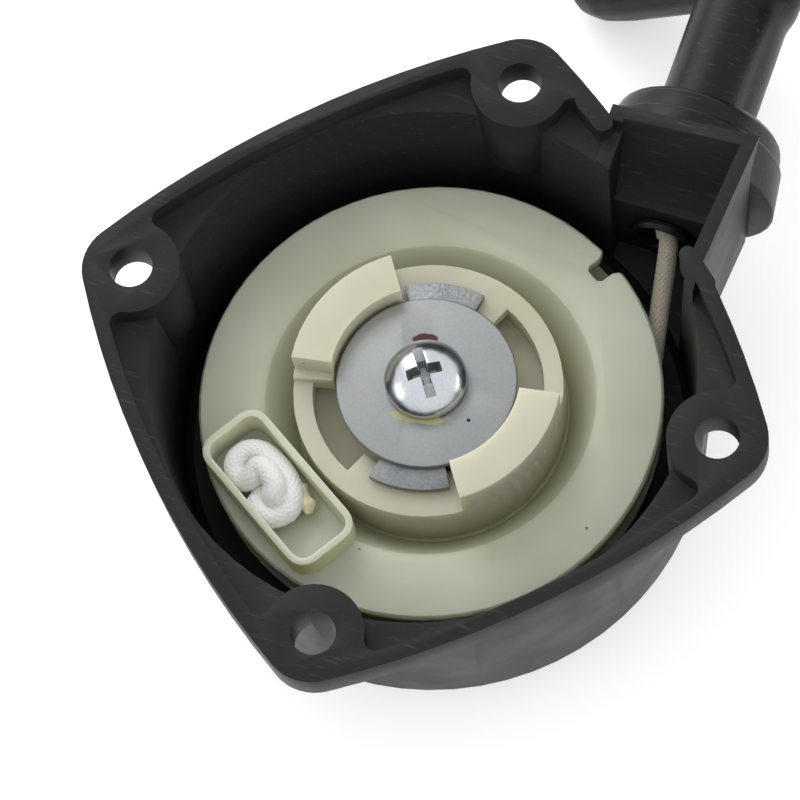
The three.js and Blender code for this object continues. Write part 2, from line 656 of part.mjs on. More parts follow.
function handleGrip() {
  const stem = alongStem(lathe([
    [0, collarStart + collarFloor + gap], [stemRadius, collarStart + collarFloor + gap], [stemRadius, barBase - 3],
    [stemRadius + 0.8, barBase], [stemRadius + 0.8, barMiddle], [0, barMiddle],
  ], 40));
  const bore = alongStem(disc(ropeRadius + 2 * gap, collarStart, barTop + past, 20));
  const chamber = alongStem(disc(knotChamber, barBase + knotSink, barTop + past, 32));
  return gripBar().add(stem).subtract(bore).subtract(chamber);
}

function handleCollar() {
  const seat = collarStart;
  const step = seat + collarLength * 0.66;
  const hole = ropeRadius + 4 * gap;
  const slim = collarRadius - collarTaper;
  return alongStem(lathe([
    [hole, seat], [collarRadius - 0.4, seat], [collarRadius, seat + 0.4], [slim, step - 0.4],
    [slim - 0.3, step], [slim - 0.6, step + 0.1], [slim - 0.8, step + 1.6],
    [slim - 1.2, step + 3], [slim - 2, collarEnd], [stemRadius + gap, collarEnd],
    [stemRadius + gap, seat + collarFloor], [hole, seat + collarFloor],
  ], 36));
}

function knotWasher() {
  return alongStem(ring(ropeRadius + 2 * gap, knotChamber - gap, washerSeat, washerSeat + 1, 28));
}

const washerSeat = barBase + knotSink + gap;
const knotSeat = washerSeat + 1 + gap;

function handleKnot() {
  const lumps = union([
    lump(0.4, 0, knotSeat + 2.3, 4.1, 3.2, 2.3, 0), lump(-0.4, 0.2, knotSeat + 2.6, 3.2, 4.1, 2.3, 25),
  ]);
  return alongStem(lumps);
}

const ropeInHandle = () => alongStem(disc(ropeRadius, collarStart + 0.1, knotSeat - gap, 12));

function handleCap() {
  return alongStem(disc(knotChamber - gap, barTop - capSink - capThickness, barTop - capSink, 28));
}

const thrustWasher = () => ring(postRadius + gap, hubOuter + 0.3, washer.bottom, washer.bottom + washer.thickness, 28);

// ---------- finishes ----------

const finish = (color, roughness, metalness) => new THREE.MeshStandardMaterial({ color, roughness, metalness });
const blackNylon = finish('#2b2c2c', 0.62, 0);
const blackPlastic = finish('#1f2021', 0.4, 0);
const naturalNylon = finish('#c4c6ae', 0.45, 0);
const creamNylon = finish('#d3d0b6', 0.45, 0);
const zincSteel = finish('#a9abae', 0.35, 1);
const brightZinc = finish('#cfd2d6', 0.18, 1);
const springSteel = finish('#5d6068', 0.3, 1);
const brass = finish('#b08d46', 0.35, 1);
const rope = finish('#cfc6b4', 0.9, 0);
const whiteRope = finish('#ececea', 0.9, 0);
const singedRope = finish('#ddd6ae', 0.6, 0);

// ---------- assembly ----------

const starter = new THREE.Group();

function addTo(group, name, piece, material) {
  const { vertProperties, triVerts } = piece.getMesh();
  const geometry = new THREE.BufferGeometry();
  geometry.setAttribute('position', new THREE.Float32BufferAttribute(vertProperties, 3));
  geometry.setIndex(new THREE.Uint32BufferAttribute(triVerts, 1));
  geometry.computeVertexNormals();
  const mesh = new THREE.Mesh(geometry, material);
  mesh.name = name;
  group.add(mesh);
}

function subAssembly(pieces) {
  const group = new THREE.Group();
  pieces.forEach(([name, piece, material]) => addTo(group, name, piece, material));
  starter.add(group);
}

subAssembly([
  ['starter_housing', starterHousing(), blackNylon],
  ['rope_eyelet', ropeEyelet(), blackPlastic],
  ['spindle_insert', spindleInsert(), brass],
  ['thrust_washer', thrustWasher(), zincSteel],
  ['recoil_spring', recoilSpring(), springSteel],
  ['retaining_disc', retainingDisc(), zincSteel],
  ['spindle_screw', spindleScrew(), brightZinc],
  ['rope_run', ropeRun(), rope],
]);

subAssembly([
  ['rope_reel', ropeReel(), naturalNylon],
  ['rope_winding', ropeWinding(), rope],
  ['rope_knot', ropeKnot(), whiteRope],
  ['rope_tail', ropeTail(), singedRope],
  ['buffer_spring', bufferSpring(), springSteel],
]);

subAssembly([
  ['starter_cam', starterCam(), creamNylon],
  ['tab_plate', tabPlate(), zincSteel],
]);

subAssembly([
  ['handle_grip', handleGrip(), blackPlastic],
  ['handle_collar', handleCollar(), blackPlastic],
  ['handle_cap', handleCap(), blackPlastic],
  ['rope_in_handle', ropeInHandle(), rope],
  ['handle_knot', handleKnot(), rope],
  ['knot_washer', knotWasher(), zincSteel],
]);

export default starter;
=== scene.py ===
"""Recoil starter: its visible pieces, their finishes, the light and the view, laid out as an add-on.

Lengths are metres in the part's own frame: the origin lies on the reel axis at the flat back of the housing,
+Z leaves the open side and +Y is the way the handle is pulled.
"""

import math

import bpy
import numpy as np
from bpy.props import FloatProperty, FloatVectorProperty, IntProperty, PointerProperty
from mathutils import Euler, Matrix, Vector, noise


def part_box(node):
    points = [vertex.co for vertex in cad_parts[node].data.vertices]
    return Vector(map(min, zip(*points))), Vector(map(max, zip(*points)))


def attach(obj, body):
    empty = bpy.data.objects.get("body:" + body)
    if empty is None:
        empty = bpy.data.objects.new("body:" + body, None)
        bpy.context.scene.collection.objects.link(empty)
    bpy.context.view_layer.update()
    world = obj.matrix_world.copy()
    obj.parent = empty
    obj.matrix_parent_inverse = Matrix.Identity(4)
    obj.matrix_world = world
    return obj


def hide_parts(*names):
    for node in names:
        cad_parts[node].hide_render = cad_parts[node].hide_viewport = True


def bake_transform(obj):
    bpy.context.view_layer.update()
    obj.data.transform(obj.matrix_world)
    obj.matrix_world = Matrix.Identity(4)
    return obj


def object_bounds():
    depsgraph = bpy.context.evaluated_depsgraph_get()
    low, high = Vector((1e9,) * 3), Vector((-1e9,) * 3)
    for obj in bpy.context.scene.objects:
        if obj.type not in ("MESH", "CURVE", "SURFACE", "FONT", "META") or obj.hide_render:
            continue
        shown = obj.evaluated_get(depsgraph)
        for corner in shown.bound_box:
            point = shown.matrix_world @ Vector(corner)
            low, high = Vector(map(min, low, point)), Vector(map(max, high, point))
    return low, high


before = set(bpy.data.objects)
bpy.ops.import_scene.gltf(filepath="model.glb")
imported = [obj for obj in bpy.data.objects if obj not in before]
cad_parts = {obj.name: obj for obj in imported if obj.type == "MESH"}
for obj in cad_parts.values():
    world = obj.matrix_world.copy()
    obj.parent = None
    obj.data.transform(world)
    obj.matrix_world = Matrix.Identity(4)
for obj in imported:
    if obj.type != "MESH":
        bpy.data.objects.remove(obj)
CAD_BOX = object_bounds()

bl_info = {
    "name": "Recoil starter",
    "version": (1, 0, 0),
    "blender": (4, 5, 0),
    "location": "3D View > Sidebar > Starter",
    "description": "Builds a pull starter's housing, reel, cam, rope and handle round a fixed frame",
    "category": "Object",
}

MM = 0.001

# Rope: its run from the reel through the eyelet to the handle.
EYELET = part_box("rope_eyelet")
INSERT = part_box("rope_in_handle")
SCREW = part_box("spindle_screw")
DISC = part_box("retaining_disc")
STEM_X = (EYELET[0].x + EYELET[1].x) / 2
ROPE_LEVEL = (EYELET[0].z + EYELET[1].z) / 2
WOUND_RADIUS = 31.3 * MM        # centre line of the outermost turn on the drum
DRUM_TURN = 26.6 * MM           # centre line of the innermost turn
DRUM_SWEEP = math.radians(870)  # how far the rope goes round the drum
LIFT = 0.6 * MM                 # how far a turn rises and falls in the groove
EYELET_SIDE = 1.35 * MM         # how far the rope is pulled towards the far side of the eyelet
STRETCH_START = 37.2 * MM       # the rope is paid out between these two places along the pull
STRETCH_END = 43.4 * MM
PULL_TRAVEL = 0.44              # the handle's full pull
CARRIERS = 12                   # strands of the braid that lean each way
PLAIT = 1.0 * MM                # rope length of one crossing
RING_STEP = 0.4 * MM            # rope length between rings of its mesh

# Knot pocket: direction from the reel axis. Knot points are (outwards, along the pocket, level) in mm.
POCKET = math.radians(232.9)
KNOT_PATH = [
    (27.1, -6.0, 14.8), (26.9, -5.2, 16.9), (27.2, -1.8, 16.9), (29.26, -0.68, 17.0),
    (30.01, -0.12, 17.2), (29.92, 1.48, 17.5), (28.89, 2.98, 17.7), (26.72, 3.26, 17.8),
    (25.03, 1.67, 17.9), (24.28, -0.87, 18.0), (24.37, -3.79, 18.0), (25.13, -6.42, 18.0),
    (26.82, -7.83, 17.9), (28.7, -7.64, 17.8), (29.73, -6.32, 17.6), (29.64, -4.44, 17.7),
    (28.42, -3.69, 18.9), (26.91, -4.07, 19.6), (26.35, -2.56, 19.9), (26.54, -0.4, 19.8),
    (27.57, 0.82, 19.1), (26.44, 1.38, 17.6), (24.75, 0.73, 17.2),
]
KNOT_SWELL = 1.18               # a clean rope stands fuller in its knot than in its run
TAIL_PATH = [(24.0, 0.2, 17.2), (23.7, 1.5, 17.1), (23.8, 2.7, 17.0), (24.0, 4.0, 16.9), (24.3, 5.2, 16.7)]
TAIL_RADII = [1.1, 1.25, 0.95, 1.2, 0.5]

# Screw: its head stands a small gap above the disc, with a low rim under the dome.
SCREW_GAP = 0.3 * MM
SCREW_RIM = 1.25 * MM
SHANK = 3 * MM
SLOT_TURN = math.radians(-55)
RECESS_DEPTH = 2.6 * MM
RECESS_DRAFT = 0.55             # size of the recess at its foot against its mouth
ABOVE = 1 * MM                  # how far cutters stand clear of the crown

# View and light.
VIEW_PLACE = (0.11505, -0.18805, 0.54312)
VIEW_TURN = Euler([math.radians(a) for a in (22.1508, 5.4187, 19.5303)])
SENSOR = 36
LENS = 175.14
ROOM_LIGHT = 1.08
FLOOR_GAP = 0.5 * MM
# Softboxes: name, way from the part as seen by the camera (right, up, back), distance, size, power.
SOFTBOXES = (
    ("key", (-0.45, 1.0, 0.25), 0.8, 0.5, 2.2),
    ("fill", (1.0, 0.1, 0.1), 1.0, 0.6, 3.5),
    ("side", (-1.0, -0.1, 0.3), 1.2, 0.6, 1.5),
)


# ---------- sizes and colours ----------

def linear(code):
    """sRGB hex to linear colour."""
    values = [int(code[i:i + 2], 16) / 255 for i in (1, 3, 5)]
    return [v / 12.92 if v <= 0.04045 else ((v + 0.055) / 1.055) ** 2.4 for v in values] + [1.0]


def length(name, description, default):
    return FloatProperty(name=name, description=description, default=default, min=0,
                         unit="LENGTH", precision=5)


def colour(name, description, code):
    return FloatVectorProperty(name=name, description=description, default=linear(code), size=4,
                               min=0, max=1, subtype="COLOR")


class StarterSizes(bpy.types.PropertyGroup):
    housing_round: length("Housing edge", "Rounding of the housing's moulded edges", 0.28 * MM)
    nylon_round: length("Reel edge", "Rounding of the reel's and cam's edges", 0.42 * MM)
    metal_round: length("Metal edge", "Rounding of stamped and turned edges", 0.12 * MM)
    rope: length("Rope diameter", "Diameter of the braided rope", 3 * MM)
    strand_rise: length("Strand rise", "How far a strand stands above its neighbours", 0.2 * MM)
    slot_width: length("Screw slot", "Width of the slot across the screw head", 1.5 * MM)
    slot_depth: length("Slot depth", "Depth of the slot below the crown of the screw", 1.15 * MM)
    grip_voxel: length("Grip detail", "Mesh size of the moulded grip", 0.5 * MM)
    floor_size: length("Floor", "Side of the floor under the part", 6.0)
    dome_rings: IntProperty(name="Dome rings", description="Rings that round the screw head",
                            default=9, min=3)


class StarterColours(bpy.types.PropertyGroup):
    housing: colour("Housing", "Black glass-filled nylon", "#1d1d1d")
    housing_wear: colour("Housing wear", "Rubbed edges of the black nylon", "#565756")
    grip: colour("Handle", "Black polypropylene", "#111112")
    reel: colour("Reel", "Natural nylon", "#ccceba")
    # Painted shade: the darker, yellower colour of the reel's low places, also used for its random cloudy
    # tone.
    reel_cloud_and_shade: colour("Reel, thick places", "Natural nylon where it is thick", "#b3b591")
    cam: colour("Cam", "Cream acetal", "#cecbb6")
    # Painted shade: the darker, yellower colour of the cam's low places, also used for its random cloudy
    # tone.
    cam_cloud_and_shade: colour("Cam, thick places", "Cream acetal where it is thick", "#b5b08a")
    zinc: colour("Zinc plate", "Dull zinc plate", "#a2a4a2")
    bright_zinc: colour("Bright zinc", "Bright zinc plate", "#dcdfe3")
    paint: colour("Paint dab", "Thread-lock paint", "#4a2019")
    grease: colour("Grease", "Grease at the screw", "#b3b283")
    rope: colour("Rope", "Used braided polyester", "#cdc4b2")
    # Painted shade: colour of the creases between strands of the rope and of its melted end.
    rope_crease_shade: colour("Rope creases", "Dirt between strands", "#8d8371")
    knot: colour("Knot", "Clean braided polyester", "#f4f4f2")
    singed: colour("Rope end", "Melted rope end", "#efe6bd")
    spring: colour("Spring steel", "Oiled spring steel", "#6b6d72")
    brass: colour("Brass", "Turned brass", "#c9a659")
    floor: colour("Floor", "Pale paper floor", "#f4f4f3")


# ---------- building with materials ----------

def per(size_mm):
    """Texture scale, in cells per metre, for a pattern of this size in millimetres."""
    return 1000 / size_mm


def add(tree, kind, settings=None, links=None):
    """Adds a node. Settings are its properties or inputs; links are inputs and the sockets that feed them."""
    node = tree.nodes.new(kind)
    for name, value in (settings or {}).items():
        if isinstance(name, str) and hasattr(node, name):
            setattr(node, name, value)
        else:
            node.inputs[name].default_value = value
    for name, source in (links or {}).items():
        tree.links.new(source, node.inputs[name])
    return node


def new_material(name):
    material = bpy.data.materials.new(name)
    material.use_nodes = True
    material.node_tree.nodes.clear()
    tree = material.node_tree
    place = add(tree, "ShaderNodeTexCoord").outputs["Object"]
    return material, tree, place


def finish_material(tree, settings, links):
    shader = add(tree, "ShaderNodeBsdfPrincipled", settings, links)
    add(tree, "ShaderNodeOutputMaterial", links={"Surface": shader.outputs[0]})


def black_plastic(name, base, wear, worn, roughness, grain):
    """Black moulded plastic: fine spark-eroded grain, flow marks, pale dust, and rubbed high spots."""
    material, tree, place = new_material(name)
    flow = add(tree, "ShaderNodeTexNoise", {"Scale": per(11), "Detail": 3}, {"Vector": place})
    skin = add(tree, "ShaderNodeTexNoise", {"Scale": per(grain), "Detail": 2}, {"Vector": place})
    # Rubbed marks are long and thin, about 5 mm by 0.4 mm.
    drawn = add(tree, "ShaderNodeMapping", {"Scale": (0.12, 1.3, 1), "Rotation": (0.3, 0.2, 0.7)},
                {"Vector": place})
    rubs = add(tree, "ShaderNodeTexNoise", {"Scale": per(0.55), "Detail": 3}, {"Vector": drawn.outputs[0]})
    rubbed = add(tree, "ShaderNodeMapRange", {1: 0.60, 2: 0.74, 3: 0, 4: 0.30}, {0: rubs.outputs[0]})
    specks = add(tree, "ShaderNodeTexVoronoi", {"Scale": per(2.6), "feature": "F1"}, {"Vector": place})
    dust = add(tree, "ShaderNodeMapRange", {1: 0.055, 2: 0.03, 3: 0, 4: 0.35},
               {0: specks.outputs["Distance"]})
    high = add(tree, "ShaderNodeMapRange", {1: 0.40, 2: 0.68, 3: worn * 0.35, 4: worn},
               {0: skin.outputs[0]})
    marks = add(tree, "ShaderNodeMath", {"operation": "MAXIMUM"}, {0: rubbed.outputs[0], 1: dust.outputs[0]})
    pale = add(tree, "ShaderNodeMath", {"operation": "MAXIMUM"}, {0: marks.outputs[0], 1: high.outputs[0]})
    tone = add(tree, "ShaderNodeMix", {"data_type": "RGBA", 6: base, 7: wear}, {0: pale.outputs[0]})
    rough = add(tree, "ShaderNodeMapRange", {1: 0.3, 2: 0.7, 3: roughness - 0.07, 4: roughness + 0.08},
                {0: flow.outputs[0]})
    bump = add(tree, "ShaderNodeBump", {"Strength": 0.35, "Distance": 0.04 * MM}, {"Height": skin.outputs[0]})
    finish_material(tree, {"IOR": 1.53, "Specular IOR Level": 0.2}, {
        "Base Color": tone.outputs[2], "Roughness": rough.outputs[0], "Normal": bump.outputs[0]})
    return material


def natural_plastic(name, base, cloud_and_shade, low, high, specked):
    """Unpigmented nylon or acetal: light sinks in, low places are painted darker and yellower as shade, the
    tone clouds at random, and grit sticks to it.
    """
    material, tree, place = new_material(name)
    parts = add(tree, "ShaderNodeSeparateXYZ", links={0: place})
    # Painted shade: below the given heights the nylon is mixed towards the darker, yellower colour; a random
    # cloudy tone is mixed in as well.
    level = add(tree, "ShaderNodeMapRange", {1: low, 2: high, 3: 1, 4: 0}, {0: parts.outputs["Z"]})
    cloud = add(tree, "ShaderNodeTexNoise", {"Scale": per(14), "Detail": 3}, {"Vector": place})
    cloudy = add(tree, "ShaderNodeMapRange", {1: 0.35, 2: 0.7, 3: 0, 4: 0.4}, {0: cloud.outputs[0]})
    depth = add(tree, "ShaderNodeMath", {"operation": "MAXIMUM"}, {0: level.outputs[0], 1: cloudy.outputs[0]})
    body = add(tree, "ShaderNodeMix", {"data_type": "RGBA", 6: base, 7: cloud_and_shade}, {0: depth.outputs[0]})
    # Dark grit of about 0.4 mm, one speck to each square centimetre or so.
    grit = add(tree, "ShaderNodeTexVoronoi", {"Scale": per(9.5), "feature": "F1"}, {"Vector": place})
    speck = add(tree, "ShaderNodeMapRange", {1: 0.030, 2: 0.018, 3: 0, 4: specked},
                {0: grit.outputs["Distance"]})
    tone = add(tree, "ShaderNodeMix", {"data_type": "RGBA", 7: linear("#3b382b")},
               {0: speck.outputs[0], 6: body.outputs[2]})
    drawn = add(tree, "ShaderNodeMapping", {"Scale": (0.2, 1.4, 1), "Rotation": (0, 0, 1.1)},
                {"Vector": place})
    rubs = add(tree, "ShaderNodeTexNoise", {"Scale": per(0.6), "Detail": 4}, {"Vector": drawn.outputs[0]})
    rough = add(tree, "ShaderNodeMapRange", {1: 0.35, 2: 0.7, 3: 0.36, 4: 0.52}, {0: rubs.outputs[0]})
    bump = add(tree, "ShaderNodeBump", {"Strength": 0.25, "Distance": 0.05 * MM}, {"Height": rubs.outputs[0]})
    finish_material(tree, {
        "IOR": 1.53, "Subsurface Weight": 0.85, "Subsurface Scale": 3 * MM,
        "Subsurface Radius": (1.0, 0.95, 0.6),
    }, {"Base Color": tone.outputs[2], "Roughness": rough.outputs[0], "Normal": bump.outputs[0]})
    return material


def plated_steel(name, base, roughness, mottle, hatched=False):
    """Zinc-plated steel: crystalline mottle under a dull skin, with tool marks where it was hammered."""
    material, tree, place = new_material(name)
    spangle = add(tree, "ShaderNodeTexNoise", {"Scale": per(0.45), "Detail": 2}, {"Vector": place})
    wide = add(tree, "ShaderNodeTexNoise", {"Scale": per(5), "Detail": 3}, {"Vector": place})
    both = add(tree, "ShaderNodeMath", {"operation": "ADD"}, {0: spangle.outputs[0], 1: wide.outputs[0]})
    shade = add(tree, "ShaderNodeMapRange", {1: 0.7, 2: 1.3, 3: mottle, 4: 0}, {0: both.outputs[0]})
    tone = add(tree, "ShaderNodeMix", {"data_type": "RGBA", 6: base, 7: linear("#6f7176")},
               {0: shade.outputs[0]})
    height = spangle.outputs[0]
    rise = 0.02 * MM
    if hatched:
        # Crossed and uneven punch marks, deepest on the tab at +Y.
        waves = [add(tree, "ShaderNodeTexWave", {"Scale": per(3.4), "Distortion": 14, "Detail": 5}, {
            "Vector": add(tree, "ShaderNodeMapping", {"Rotation": (0, 0, turn)},
                          {"Vector": place}).outputs[0]})
            for turn in (0.5, 2.2)]
        crossed = add(tree, "ShaderNodeMath", {"operation": "MULTIPLY"},
                      {0: waves[0].outputs[1], 1: waves[1].outputs[1]})
        parts = add(tree, "ShaderNodeSeparateXYZ", links={0: place})
        struck = add(tree, "ShaderNodeMapRange", {1: 0, 2: 5 * MM, 3: 0.12, 4: 1}, {0: parts.outputs["Y"]})
        height = add(tree, "ShaderNodeMath", {"operation": "MULTIPLY"},
                     {0: crossed.outputs[0], 1: struck.outputs[0]}).outputs[0]
        rise = 0.035 * MM
    rough = add(tree, "ShaderNodeMapRange", {1: 0.3, 2: 0.7, 3: roughness, 4: roughness + 0.12},
                {0: wide.outputs[0]})
    bump = add(tree, "ShaderNodeBump", {"Strength": 0.5, "Distance": rise}, {"Height": height})
    finish_material(tree, {"Metallic": 1}, {
        "Base Color": tone.outputs[2], "Roughness": rough.outputs[0], "Normal": bump.outputs[0]})
    return material


def rope_fibre(name, base, shade, crease_shading):
    """Braided polyester: matt threads of about 0.3 mm, with painted shade in the creases between strands."""
    material, tree, place = new_material(name)
    weave = add(tree, "ShaderNodeTexCoord").outputs["UV"]
    threads = add(tree, "ShaderNodeTexWave", {"Scale": 9, "Distortion": 4, "Detail": 2, "Detail Scale": 3},
                  {"Vector": weave})
    fuzz = add(tree, "ShaderNodeTexNoise", {"Scale": per(0.3), "Detail": 3}, {"Vector": place})
    # Painted shade: the creases between strands are darkened, flecked by a fine noise.
    crease = add(tree, "ShaderNodeAttribute", {"attribute_name": "crease"})
    crease_fleck = add(tree, "ShaderNodeMath", {"operation": "MULTIPLY"},
               {0: crease.outputs["Fac"], 1: fuzz.outputs[0]})
    crease_shade_mix = add(tree, "ShaderNodeMapRange", {1: 0.0, 2: 0.5, 3: 0, 4: crease_shading}, {0: crease_fleck.outputs[0]})
    tone = add(tree, "ShaderNodeMix", {"data_type": "RGBA", 6: base, 7: shade}, {0: crease_shade_mix.outputs[0]})
    mixed = add(tree, "ShaderNodeMath", {"operation": "ADD"}, {0: threads.outputs[1], 1: fuzz.outputs[0]})
    bump = add(tree, "ShaderNodeBump", {"Strength": 0.4, "Distance": 0.06 * MM}, {"Height": mixed.outputs[0]})
    finish_material(tree, {"Roughness": 0.8, "Sheen Weight": 0.25, "Subsurface Weight": 0.2,
                           "Subsurface Scale": 0.5 * MM},
                    {"Base Color": tone.outputs[2], "Normal": bump.outputs[0]})
    return material


def marked_disc(name, base, paint, grease):
    """Dull zinc plate with a dab of thread-lock paint, a punch dot and a band of grease by the screw."""
    material, tree, place = new_material(name)
    spangle = add(tree, "ShaderNodeTexNoise", {"Scale": per(0.4), "Detail": 2}, {"Vector": place})
    wide = add(tree, "ShaderNodeTexNoise", {"Scale": per(4), "Detail": 3}, {"Vector": place})
    both = add(tree, "ShaderNodeMath", {"operation": "ADD"}, {0: spangle.outputs[0], 1: wide.outputs[0]})
    shade = add(tree, "ShaderNodeMapRange", {1: 0.7, 2: 1.3, 3: 0.4, 4: 0}, {0: both.outputs[0]})
    tone = add(tree, "ShaderNodeMix", {"data_type": "RGBA", 6: base, 7: linear("#8b8d92")},
               {0: shade.outputs[0]}).outputs[2]
    ragged = add(tree, "ShaderNodeTexNoise", {"Scale": per(1.6), "Detail": 3}, {"Vector": place})
    covers = []
    # Each mark: place, reach along and across, lean, raggedness.
    for at, reach, lean, rag in (((-2.5, 6.35), (1.85, 0.85), 0.3, 0.9), ((7.85, -3.85), (0.3, 0.3), 0, 0.1),
                                 ((0.8, -5.6), (4.0, 0.95), 0.15, 1.5)):
        local = add(tree, "ShaderNodeMapping", {
            "vector_type": "TEXTURE", "Location": (at[0] * MM, at[1] * MM, DISC[1].z),
            "Rotation": (0, 0, lean), "Scale": (reach[0] * MM, reach[1] * MM, 1)}, {"Vector": place})
        away = add(tree, "ShaderNodeVectorMath", {"operation": "LENGTH"}, {0: local.outputs[0]})
        torn = add(tree, "ShaderNodeMath", {"operation": "MULTIPLY_ADD", 1: rag}, {
            0: ragged.outputs[0], 2: away.outputs["Value"]})
        covers.append(add(tree, "ShaderNodeMapRange", {1: 1.05 + rag / 2, 2: 0.9 + rag / 2, 3: 0, 4: 1},
                          {0: torn.outputs[0]}).outputs[0])
    for cover, tint in zip(covers, (paint, linear("#3a2f38"), grease)):
        tone = add(tree, "ShaderNodeMix", {"data_type": "RGBA", 7: tint}, {0: cover, 6: tone}).outputs[2]
    painted = add(tree, "ShaderNodeMath", {"operation": "MAXIMUM"}, {0: covers[0], 1: covers[2]})
    metal = add(tree, "ShaderNodeMapRange", {1: 0, 2: 1, 3: 1, 4: 0.1}, {0: painted.outputs[0]})
    rough = add(tree, "ShaderNodeMapRange", {1: 0.3, 2: 0.7, 3: 0.44, 4: 0.56}, {0: wide.outputs[0]})
    bump = add(tree, "ShaderNodeBump", {"Strength": 0.4, "Distance": 0.02 * MM},
               {"Height": spangle.outputs[0]})
    finish_material(tree, {}, {
        "Base Color": tone, "Metallic": metal.outputs[0], "Roughness": rough.outputs[0],
        "Normal": bump.outputs[0]})
    return material


def paper_floor(name, base):
    """Pale matt paper with a faint tooth, lit from below as on a light table."""
    material, tree, place = new_material(name)
    tooth = add(tree, "ShaderNodeTexNoise", {"Scale": per(0.8), "Detail": 2}, {"Vector": place})
    tone = add(tree, "ShaderNodeMix", {"data_type": "RGBA", 6: base, 7: linear("#efefee")},
               {0: tooth.outputs[0]})
    finish_material(tree, {"Roughness": 0.9, "IOR": 1.3, "Emission Color": base, "Emission Strength": 0.45},
                    {"Base Color": tone.outputs[2]})
    return material


def finishes():
    """Every material, made once and found by name."""
    if "moulded black nylon" in bpy.data.materials:
        return {m.name: m for m in bpy.data.materials}
    c = bpy.context.scene.starter_colours
    made = [
        black_plastic("moulded black nylon", c.housing, c.housing_wear, 0.05, 0.50, 0.32),
        black_plastic("rubbed nylon edge", c.housing, c.housing_wear, 0.55, 0.55, 0.45),
        black_plastic("moulded black polypropylene", c.grip, c.housing_wear, 0.03, 0.34, 0.5),
        # Reel and cam are painted darker and yellower towards their low places, as shade.
        natural_plastic("natural nylon", c.reel, c.reel_cloud_and_shade, 10 * MM, 16 * MM, 0.9),
        natural_plastic("cream acetal", c.cam, c.cam_cloud_and_shade, 10 * MM, 19 * MM, 0.5),
        plated_steel("dull zinc plate", c.zinc, 0.42, 0.5),
        plated_steel("punched zinc plate", c.zinc, 0.42, 0.7, hatched=True),
        plated_steel("bright zinc plate", c.bright_zinc, 0.17, 0.15),
        plated_steel("oiled spring steel", c.spring, 0.28, 0.3),
        plated_steel("turned brass", c.brass, 0.3, 0.3),
        marked_disc("zinc plate with paint dab", c.zinc, c.paint, c.grease),
        # Each rope finish has painted shade in its creases; the clean knot's creases take the used rope's
        # colour.
        rope_fibre("braided polyester", c.rope, c.rope_crease_shade, 0.9),
        rope_fibre("clean braided polyester", c.knot, c.rope, 0.35),
        rope_fibre("melted polyester", c.singed, c.rope_crease_shade, 0.25),
        paper_floor("pale paper", c.floor),
    ]
    return {m.name: m for m in made}


def wear(obj, *names):
    """Gives a piece its materials in order."""
    found = finishes()
    obj.data.materials.clear()
    for name in names:
        obj.data.materials.append(found[name])


# ---------- building with meshes ----------

def pick(obj):
    bpy.ops.object.select_all(action="DESELECT")
    obj.select_set(True)
    bpy.context.view_layer.objects.active = obj


def modify(obj, kind, **settings):
    pick(obj)
    modifier = obj.modifiers.new(kind.title(), kind)
    for name, value in settings.items():
        setattr(modifier, name, value)
    bpy.ops.object.modifier_apply(modifier=modifier.name)


def shade(obj, degrees=32):
    pick(obj)
    bpy.ops.object.shade_smooth_by_angle(angle=math.radians(degrees))


def whole_copy(node, name):
    """A copy of a CAD node with its loose triangles merged and its flat faces made whole."""
    obj = bpy.data.objects.new(name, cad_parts[node].data.copy())
    bpy.context.scene.collection.objects.link(obj)
    pick(obj)
    bpy.ops.mesh.customdata_custom_splitnormals_clear()
    bpy.ops.object.mode_set(mode="EDIT")
    bpy.ops.mesh.select_all(action="SELECT")
    bpy.ops.mesh.remove_doubles(threshold=0.002 * MM)
    bpy.ops.mesh.dissolve_limited(angle_limit=math.radians(0.8))
    bpy.ops.object.mode_set(mode="OBJECT")
    return obj


def settle(obj, body, slot, *nodes):
    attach(obj, body)
    if nodes:
        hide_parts(*nodes)
    return obj


def edged(node, name, body, slot, width, materials, segments=2, angle=28):
    """A CAD node's shape with its edges rounded; the rounded faces take the second material."""
    obj = whole_copy(node, name)
    wear(obj, *materials)
    modify(obj, "BEVEL", width=width, segments=segments, limit_method="ANGLE",
           angle_limit=math.radians(angle), use_clamp_overlap=True, harden_normals=False,
           material=len(materials) - 1 if len(materials) > 1 else -1)
    shade(obj)
    return settle(obj, body, slot, node)


def resampled(points, step):
    """Points an even step apart on a smooth curve through the given ones."""
    p = np.array(points, float)
    p = np.vstack([2 * p[0] - p[1], p, 2 * p[-1] - p[-2]])
    dense = []
    for a, b, c, d in zip(p, p[1:], p[2:], p[3:]):
        for t in np.linspace(0, 1, 24, endpoint=False):
            dense.append(0.5 * (2 * b + (c - a) * t + (2 * a - 5 * b + 4 * c - d) * t ** 2
                                + (3 * b - a - 3 * c + d) * t ** 3))
    dense = np.array(dense + [p[-2]])
    along = np.concatenate([[0], np.cumsum(np.linalg.norm(np.diff(dense, axis=0), axis=1))])
    count = max(2, int(along[-1] / step))
    even = np.linspace(0, along[-1], count + 1)
    return np.stack([np.interp(even, along, dense[:, k]) for k in range(3)], 1)


